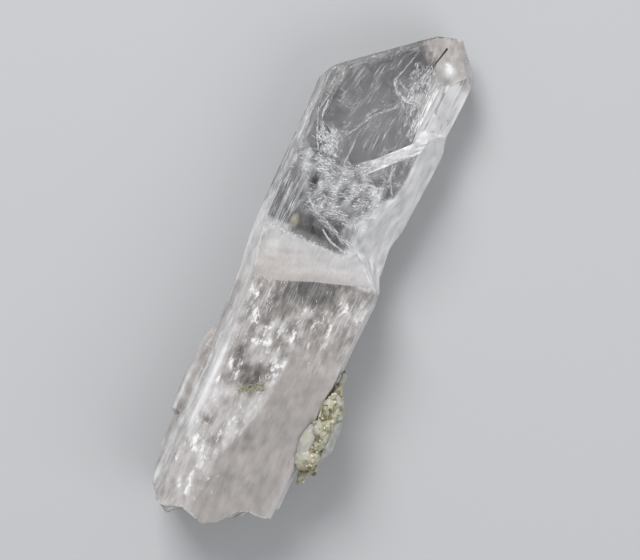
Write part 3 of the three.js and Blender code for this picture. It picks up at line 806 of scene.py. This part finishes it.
HAZES = [  # x, y and depth from and to, flakes, length, width, heading, its scatter, share flush
    ((-5, 5), (46.5, 53.5), (0.1, 2.5), 2900, 0.55, 0.056, -1, 0.5, 0.35),
    ((-5.4, 4.4), (47, 54.8), (0.05, 1.2), 460, 1, 0.11, -1.25, 0.3, 0.5),
    ((-8.8, -4.4), (51.6, 55), (0.05, 0.8), 170, 0.9, 0.1, -1.5, 0.2, 0.5),
    ((-9, -1.5), (50.6, 55.8), (0.05, 1.5), 1900, 0.55, 0.056, 1.35, 0.5, 0.35),
    ((-7.4, -4.2), (54.6, 58.8), (0.05, 1.2), 1000, 0.8, 0.048, -0.35, 0.3, 0.35),
    ((0.2, 5.3), (66, 73.4), (0.1, 2), 1700, 0.5, 0.06, 0.15, 0.35, 0.25),
    ((2.6, 5.3), (61.5, 67), (0.1, 2), 700, 0.7, 0.06, 0.05, 0.25, 0.3),
    ((-6.4, 3), (25, 37), (0.05, 2), 1000, 0.8, 0.064, 0, 0.2, 0.21),
    ((-6.3, 0.5), (4, 26), (0.05, 2), 700, 0.6, 0.072, 0, 0.5, 0.21),
    ((3, 9), (26, 39.5), (0.05, 2), 560, 0.9, 0.056, 0, 0.12, 0.21),
    ((-9, -6.4), (43, 51), (0.05, 1), 480, 2.2, 0.048, 0, 0.02, 0.28),
    ((-8.8, -1), (60, 71.5), (0.02, 0.2), 640, 2.2, 0.03, -0.14, 0.03, 0.5),
    ((-1, 4.8), (56.5, 66), (0.02, 0.2), 300, 2.4, 0.03, 0, 0.02, 0.5),
    ((-8.9, -4.6), (61, 65.5), (0.02, 0.2), 160, 1.3, 0.03, 1.57, 0.04, 0.5),
    ((-8.8, 4.6), (57, 71), (0.02, 1), 1300, 0.16, 0.07, 0, 1.5, 0.4),
    ((-4.6, 1.5), (58, 64.5), (0.02, 1), 500, 0.4, 0.04, -0.6, 0.4, 0.2),
    ((-6.5, -2), (56, 61), (0.02, 1.5), 400, 0.4, 0.04, -0.5, 0.8, 0.21),
    ((1.2, 6.6), (53.6, 60), (0.1, 3), 900, 0.4, 0.048, -0.6, 0.7, 0.28),
]
WEDGE = [(55.0, -6.5), (60.4, -9.1)]  # y, x: left of this line the notch is clear of hazes
HAZE_FADE = 0.9  # mm over which a haze thins out at its ends
FRINGE = [(-8.9, 66.3), (-6.2, 68.5), (-3.4, 71.0), (-0.6, 73.4)]  # shards under the end face
SHARDS = 200
STAIN = [(-2.4, 20.0), (-0.6, 21.0), (0.7, 21.9)]  # olive mineral dust in the lower crystal
DUST_FLAKES = 220
NEEDLE = [(3.9, 75.7), (3.1, 72.1)]  # its two ends
NEEDLE_DEPTH = 0.13
NEEDLE_WIDTH = 0.4
LENS = (-5.3, 44.4, 11.5)  # a flat yellowish crystal under the front of the middle crystal
LENS_SIZE = (1.3, 2.6, 0.5)


def drawn_depth(rng, least, reach, flush):
    """A random depth. A share of the strips lies flush on the skin."""
    if rng.random() <= flush:
        return FLUSH
    return least + reach * rng.random() ** 2


def drawn_tilt(rng, depth, most):
    """A random tilt, but a strip on the skin lies flat."""
    return (rng.gauss(0, most), rng.gauss(0, most)) if depth > 0 else (0, 0)


def crack_strokes(rng, amount):
    """Flakes along the healed cracks."""
    for count, spread, length, width, deepest, lean, flush, *path in CRACKS:
        for _ in range(int(count * amount)):
            x, y, heading = near_path(rng, path, spread)
            depth = drawn_depth(rng, LEAST_OVER, deepest, flush)
            yield stroke(
                x + lean * depth, y, depth, length * rng.uniform(0.5, 1.4),
                width * rng.uniform(0.5, 1.5), heading + rng.gauss(0, 0.22),
                rng.uniform(-0.06, 0.06), drawn_tilt(rng, depth, 0.2),
            )


def haze_strokes(rng, amount):
    """Flakes scattered between the cracks."""
    for span, (start, end), (least, most), count, length, width, heading, scatter, flush in HAZES:
        for _ in range(int(count * amount / (1 - HAZE_FADE / (end - start)))):
            x, y = rng.uniform(*span), rng.uniform(start, end)
            thin = plateau(start, start + HAZE_FADE, end - HAZE_FADE, end, y)
            if y > WEDGE[0][0] and x < between(WEDGE, y):
                continue
            if noise.noise(Vector((x * 0.8, y * 0.5, 3.0))) < rng.uniform(-0.2, 0.3):
                continue
            if rng.random() > thin:
                continue
            depth = drawn_depth(rng, least, most - least, flush)
            yield stroke(
                x, y, depth, length * rng.uniform(0.4, 1.6), width * rng.uniform(0.5, 1.5),
                heading + rng.gauss(0, scatter), scatter * rng.uniform(-0.15, 0.15),
                drawn_tilt(rng, depth, 0.25),
            )


def shard_strokes(rng, amount):
    """Shards under the edge of the end face."""
    for _ in range(int(SHARDS * amount)):
        x, y, _ = near_path(rng, FRINGE, 0.35)
        yield stroke(
            x, y, rng.uniform(0.05, 0.8), rng.uniform(0.3, 1.4), rng.uniform(0.05, 0.16),
            rng.gauss(-0.35, 0.3), 0.0, (rng.gauss(0, 0.2), rng.gauss(0, 0.2)),
        )


def build_veils(settings):
    """The healed cracks: thin gaps in the crystal, so their flakes shine from grey to white."""
    rng = random.Random(settings.seed)
    places = [
        (place, rng.random() ** 1.3)
        for strokes in (crack_strokes, haze_strokes, shard_strokes)
        for place in strokes(rng, settings.inclusions.amount) if place
    ]
    shades = [linear(shade) for shade in ("#98989B", "#D6D6D8", "#FFFFFF")]
    veils = copies("healed_cracks", [strip_shape()], places, mineral("healed_crack", shades, 0.4))
    finish_piece(veils, "danburite")


def add_mineral(name, finish, smooth_angle, kind, **settings):
    """A sealed mineral: a small solid at its place under the skin."""
    piece = primitive(kind, **settings)
    piece.name = name
    bpy.ops.object.transform_apply()
    piece.data.materials.append(finish)
    finish_piece(piece, "danburite", smooth_angle=smooth_angle)


def build_minerals(settings):
    """The dark needle, a glossy rod, the honey-yellow lens and the dull olive dust."""
    rng = random.Random(settings.seed + 1)
    look = settings.inclusions
    start, end = (front_at(*place)[0] - Vector((0, 0, NEEDLE_DEPTH)) * MM for place in NEEDLE)
    add_mineral(
        "dark_needle", mineral("dark_mineral", [look.needle, look.needle_pale], 0.35, 0.3), 25,
        "cone", vertices=6, radius1=NEEDLE_WIDTH / 2 * MM, radius2=NEEDLE_WIDTH / 3 * MM,
        depth=(end - start).length, location=(start + end) / 2,
        rotation=(end - start).to_track_quat("Z", "Y").to_euler(),
    )
    add_mineral(
        "yellow_lens", mineral("yellow_mineral", [look.lens_edge, look.lens], 0.3, 0.7), 40,
        "ico_sphere", subdivisions=2, radius=0.5, location=at(*LENS), scale=Vector(LENS_SIZE) * MM,
    )
    places = []
    for _ in range(DUST_FLAKES):
        x, y, heading = near_path(rng, STAIN, 0.28)
        length, width = rng.uniform(0.3, 0.9), rng.uniform(0.06, 0.16)
        place = stroke(x, y, FLUSH, length, width, heading + rng.gauss(0, 0.3))
        if place:
            places.append((place, rng.random()))
    olive = mineral("olive_mineral", [look.olive_dust, linear("#B4B09B")], 0.5)
    finish_piece(copies("olive_dust", [strip_shape()], places, olive), "danburite")


# ---- The crust ----


def grain_shapes():
    """Three small grains about one unit wide: a round one, a block and a splinter."""
    ball = primitive("ico_sphere", subdivisions=1, radius=0.5)
    block = primitive("cube", size=0.75)
    bpy.ops.object.mode_set(mode="EDIT")
    bpy.ops.mesh.bevel(offset=0.16, segments=1, affect="EDGES")
    bpy.ops.object.mode_set(mode="OBJECT")
    return ball, block, primitive("cone", vertices=6, radius1=0.3, radius2=0.12, depth=1.3)


PALE_LUMP = (9.35, 17.6)  # the middle of the smooth grey lump of the crust
PALE_REACH = (1.1, 3.2)
SEAM = [(13.6, 11.0), (15.5, 10.7), (18.0, 10.5), (21.5, 10.2), (24.6, 10.2)]  # y, x of the granular seam


def scattered_on(piece, rng, count):
    """Places spread evenly over a mesh: points with the normal there."""
    piece.data.calc_loop_triangles()
    triangles = piece.data.loop_triangles
    corners = [v.co for v in piece.data.vertices]
    for triangle in rng.choices(triangles, [t.area for t in triangles], k=count):
        a, b, c = (corners[i] for i in triangle.vertices)
        u, v = rng.random(), rng.random()
        if u + v > 1:
            u, v = 1 - u, 1 - v
        yield a + (b - a) * u + (c - a) * v, triangle.normal.copy()


def paleness(x, y):
    """1 on the smooth grey-white lump of the crust, 0 off it."""
    off = [(value - middle) / half for value, middle, half in zip((x, y), PALE_LUMP, PALE_REACH)]
    return ramp(1.2, 0.9, math.hypot(*off))


def seam_at(x, y):
    """How near a place is to the granular seam of the crust: 1 on it, 0 away from it."""
    return bell(x, between(SEAM, y), 0.95) * plateau(12, 13.5, 24, 25.5, y)


def build_crust(settings):
    """The mineral crust: waxy stained lumps, and the dry golden grains in the seam between them."""
    rng = random.Random(settings.seed + 2)
    look = settings.crust
    crust = merged_copy("matrix_crust", "crust")
    apply_modifier(crust, "SUBSURF", levels=3, render_levels=3, subdivision_type="SIMPLE")
    shades = []
    lumpy = crust.vertex_groups.new(name="lumpy")
    for vertex in crust.data.vertices:
        x, y, _ = place_of(vertex.co)
        pale = paleness(x, y)
        lumpy.add([vertex.index], 1 - 0.5 * pale, "REPLACE")
        grit = noise.noise(vertex.co / MM * 0.9) + 0.5 * noise.noise(vertex.co / MM * 2.6)
        stained = 0.55 + 0.2 * ramp(23.5, 25, y) + 0.5 * grit
        shades.append(stained * (1 - pale) + (0.95 + 0.3 * grit) * pale)
    keep(crust, "shade", shades)
    displace(crust, "lumpy", look.lumps, 0.8, 0.8, detail=3)
    stains = [look.deep, look.olive, look.grey_green, look.pale, look.chalk]
    crust.data.materials.append(mineral("crust_base", stains, 0.4))
    finish_piece(crust, "crust", "matrix_crust", smooth_angle=35)
    places = []
    for point, normal in scattered_on(crust, rng, look.grains):
        x, y, z = place_of(point)
        share = (0.06 + seam_at(x, y)) * (1 - 0.95 * paleness(x, y))
        share = max(share, 0.7 * ramp(-0.3, -0.8, normal.x) * ramp(9, 10.5, z) * ramp(19, 21, y))
        if normal.z < -0.2 or rng.random() > share:
            continue
        size = look.grain_size * rng.uniform(0.55, 1.1) ** 2
        spin = Euler([rng.uniform(0, math.tau) for _ in range(3)]).to_matrix()
        shape = Vector([size * rng.uniform(0.6, 1.3) for _ in range(3)])

        def place(corner, point=point + normal * size * 0.05, spin=spin, shape=shape):
            return point + spin @ (corner * shape)

        places.append((place, rng.random()))
    stained = mineral("crust_grain", [look.deep, look.gold_brown, look.gold, look.sand], 0.4)
    finish_piece(copies("crust_grains", grain_shapes(), places, stained), "crust")


def build_crust_crystal(settings):
    """The waxy grey-white crystal at the outer side of the crust."""
    look = settings.crust
    crystal = merged_copy("crust_crystal", "grey_crystal")
    apply_modifier(
        crystal, "BEVEL", width=0.25 * MM, segments=2, limit_method="ANGLE",
        angle_limit=math.radians(20),
    )
    apply_modifier(crystal, "SUBSURF", levels=2, render_levels=2, subdivision_type="SIMPLE")
    everywhere = crystal.vertex_groups.new(name="everywhere")
    everywhere.add(range(len(crystal.data.vertices)), 1.0, "REPLACE")
    displace(crystal, "everywhere", look.lumps * 0.5, 1.2, 2.0, detail=2)
    crystal.data.materials.append(mineral("grey_crystal", [look.wax_dark, look.wax], 0.25, 0.9))
    finish_piece(crystal, "calcite", "crust_crystal", smooth_angle=40)


# ---- The stage ----


LIGHTS = (  # name, place and width in metres, setting with the power
    ("key", (-0.35, 0.35, 0.55), 0.35, "key_power"), ("fill", (0.5, -0.1, 0.5), 0.5, "fill_power"),
)
LENS_LENGTH, SENSOR_WIDTH = 120, 36  # of the camera, mm
PICTURE_WIDTH = 89.6  # how wide the picture is at the crystal's front, mm
PICTURE_MIDDLE = (1.45, 38.57)
PICTURE_TURN = math.radians(25)


def build_stage(settings):
    studio = settings.studio
    floor = primitive("plane", size=3.0, location=(0, 0, -0.05 * MM))
    floor.name = "floor"
    made, tree = material("pale_floor")  # plain matt card
    shader = node(tree, "BsdfPrincipled", {"Base Color": studio.floor, "Roughness": 0.9})
    node(tree, "OutputMaterial", {"Surface": shader.outputs[0]})
    floor.data.materials.append(made)
    scene = bpy.context.scene
    scene.view_settings.view_transform = "Standard"
    scene.world = bpy.data.worlds.new("studio")
    scene.world.use_nodes = True
    background = scene.world.node_tree.nodes["Background"]
    background.inputs["Color"].default_value = linear("#E9EBEE")
    background.inputs["Strength"].default_value = studio.room_light
    for name, place, size, power in LIGHTS:
        light = new_object(name, bpy.data.lights.new(name, "AREA"))
        light.data.size = size
        light.data.energy = getattr(studio, power)
        light.location = place
        light.rotation_euler = (-Vector(place)).to_track_quat("-Z", "Y").to_euler()
    scene.camera = new_object("camera", bpy.data.cameras.new("camera"))
    scene.camera.data.lens = LENS_LENGTH
    scene.camera.location = at(*PICTURE_MIDDLE, FRONT_TOP + PICTURE_WIDTH * LENS_LENGTH / SENSOR_WIDTH)
    scene.camera.rotation_euler = (0, 0, PICTURE_TURN)


# ---- Settings ----


def length_setting(name, description, default):
    return FloatProperty(name=name, description=description, default=default, unit="LENGTH", precision=6)


def number_setting(name, description, default, kind=FloatProperty, **limits):
    return kind(name=name, description=description, default=default, **limits)


def group_setting(name, description, kind):
    return PointerProperty(name=name, description=description, type=kind)


def colour_setting(name, description, hex_colour):
    return FloatVectorProperty(
        name=name, description=description, default=linear(hex_colour), subtype="COLOR", size=4,
        min=0, max=1,
    )


class CrystalForm(bpy.types.PropertyGroup):
    edge_wear: length_setting("Edge wear", "Width of the worn line along each edge", 0.09 * MM)
    rib_depth: length_setting("Rib depth", "Depth of the growth ribs along the crystal", 0.16 * MM)
    hackle_depth: length_setting("Break relief", "Depth of the broken relief on the front", 0.35 * MM)
    wear_rounds: number_setting("Etching", "How far the right side is smoothed", 12, IntProperty, min=0)
    grid_along: length_setting("Grid along", "Spacing of the fine mesh along the crystal", 0.5 * MM)
    grid_across: length_setting("Grid across", "Spacing of the fine mesh across the crystal", 0.3 * MM)


class CrystalLook(bpy.types.PropertyGroup):
    ior: number_setting("IOR", "Refractive index of danburite", 1.63, min=1.3, max=2.5)
    tint: colour_setting("Body tint", "What clear crystal absorbs down to", "#F5F3F2")
    density: number_setting("Absorption", "Absorption per metre", 2.0, min=0)
    milk_deep: colour_setting("Deep milk", "Turbid crystal in its darkest places", "#848281")
    milk: colour_setting("Milk", "Turbid crystal", "#B5AEAA")
    milk_top: colour_setting("Milk, upper", "Turbid crystal above the ledge", "#ADAEB0")
    milk_bright: colour_setting("Frost", "Frosted and broken crystal at its brightest", "#F5F4F4")


class InclusionSettings(bpy.types.PropertyGroup):
    amount: number_setting("Flakes", "How many flakes lie in the cracks", 1.0, min=0, max=2)
    needle: colour_setting("Needle", "The dark mineral needle", "#282A27")
    needle_pale: colour_setting("Needle, pale", "The needle where it is paler", "#3A3C37")
    lens: colour_setting("Lens", "The yellowish lens", "#F2ECD6")
    lens_edge: colour_setting("Lens edge", "The yellowish lens where it is darker", "#D0C9AD")
    olive_dust: colour_setting("Olive dust", "Mineral dust in the lower crystal", "#7E7C62")


class CrustSettings(bpy.types.PropertyGroup):
    grains: number_setting("Grains", "How many grains are tried on the crust", 1700, IntProperty, min=0)
    grain_size: length_setting("Grain size", "Width of a middling grain", 0.55 * MM)
    lumps: length_setting("Lumps", "Depth of the lumps of the crust", 0.5 * MM)
    deep: colour_setting("Hollows", "The darkest hollows and grains", "#6A6146")
    gold_brown: colour_setting("Gold brown", "Brown grains", "#998D65")
    gold: colour_setting("Gold", "Golden grains", "#C5BA95")
    sand: colour_setting("Sand", "Pale grains", "#E6DFCB")
    olive: colour_setting("Olive", "Stained mineral", "#8E8A6E")
    grey_green: colour_setting("Grey green", "Clean mineral", "#A8A793")
    pale: colour_setting("Pale", "Pale mineral", "#BDBBA9")
    chalk: colour_setting("Grey white", "The palest mineral", "#AFADA6")
    wax: colour_setting("Grey crystal", "The waxy crystal", "#C2C2BC")
    wax_dark: colour_setting("Grey crystal, deep", "The waxy crystal where it is darker", "#9C9F99")


class StudioSettings(bpy.types.PropertyGroup):
    floor: colour_setting("Floor", "Colour of the plain pale floor", "#C2C3C5")
    room_light: number_setting("Room light", "Strength of the light from all round", 0.46)
    key_power: number_setting("Key light", "Power of the soft light at the left", 4.0)
    fill_power: number_setting("Fill light", "Power of the soft light at the right", 1.4)


class DanburiteSettings(bpy.types.PropertyGroup):
    seed: number_setting("Seed", "Seed of everything that is scattered", 41, IntProperty)
    form: group_setting("Form", "Sizes of the crystal's relief", CrystalForm)
    look: group_setting("Look", "Colours of the crystal", CrystalLook)
    inclusions: group_setting("Inclusions", "What the crystal holds", InclusionSettings)
    crust: group_setting("Crust", "Sizes and colours of the crust", CrustSettings)
    studio: group_setting("Studio", "Floor and lights", StudioSettings)


# ---- Operators ----


class DANBURITE_OT_crystal(bpy.types.Operator):
    """Builds the danburite crystal over its solid"""
    bl_idname = "danburite.crystal"
    bl_label = "Crystal"

    def execute(self, context):
        build_crystal(context.scene.danburite)
        return {"FINISHED"}


class DANBURITE_OT_veils(bpy.types.Operator):
    """Builds the healed cracks and hazes inside the crystal"""
    bl_idname = "danburite.veils"
    bl_label = "Healed cracks"

    def execute(self, context):
        build_veils(context.scene.danburite)
        return {"FINISHED"}


class DANBURITE_OT_minerals(bpy.types.Operator):
    """Builds the minerals sealed in the crystal"""
    bl_idname = "danburite.minerals"
    bl_label = "Sealed minerals"

    def execute(self, context):
        build_minerals(context.scene.danburite)
        return {"FINISHED"}


class DANBURITE_OT_crust(bpy.types.Operator):
    """Builds the mineral crust and its grains"""
    bl_idname = "danburite.crust"
    bl_label = "Crust"

    def execute(self, context):
        build_crust(context.scene.danburite)
        return {"FINISHED"}


class DANBURITE_OT_crust_crystal(bpy.types.Operator):
    """Builds the grey crystal in the crust"""
    bl_idname = "danburite.crust_crystal"
    bl_label = "Grey crystal"

    def execute(self, context):
        build_crust_crystal(context.scene.danburite)
        return {"FINISHED"}


class DANBURITE_OT_stage(bpy.types.Operator):
    """Sets up the floor, the soft lights and the camera"""
    bl_idname = "danburite.stage"
    bl_label = "Stage"

    def execute(self, context):
        build_stage(context.scene.danburite)
        return {"FINISHED"}


OPERATORS = (
    DANBURITE_OT_crystal, DANBURITE_OT_veils, DANBURITE_OT_minerals, DANBURITE_OT_crust,
    DANBURITE_OT_crust_crystal, DANBURITE_OT_stage,
)


class DANBURITE_PT_panel(bpy.types.Panel):
    """Lists the settings and the steps of the build"""
    bl_idname = "DANBURITE_PT_panel"
    bl_label = "Danburite"
    bl_space_type = "VIEW_3D"
    bl_region_type = "UI"
    bl_category = "Danburite"

    def draw(self, context):
        settings = context.scene.danburite
        self.layout.prop(settings, "seed")
        for group in (settings.form, settings.look, settings.inclusions, settings.crust, settings.studio):
            box = self.layout.box()
            for name in group.__annotations__:
                box.prop(group, name)
        for operator in OPERATORS:
            self.layout.operator(operator.bl_idname)


CLASSES = (
    CrystalForm, CrystalLook, InclusionSettings, CrustSettings, StudioSettings, DanburiteSettings,
    *OPERATORS, DANBURITE_PT_panel,
)


def register():
    for item in CLASSES:
        bpy.utils.register_class(item)
    bpy.types.Scene.danburite = PointerProperty(type=DanburiteSettings)


def unregister():
    del bpy.types.Scene.danburite
    for item in reversed(CLASSES):
        bpy.utils.unregister_class(item)


def main():
    register()
    bpy.ops.danburite.crystal()
    bpy.ops.danburite.veils()
    bpy.ops.danburite.minerals()
    bpy.ops.danburite.crust()
    bpy.ops.danburite.crust_crystal()
    bpy.ops.danburite.stage()


if __name__ == "__main__":
    main()
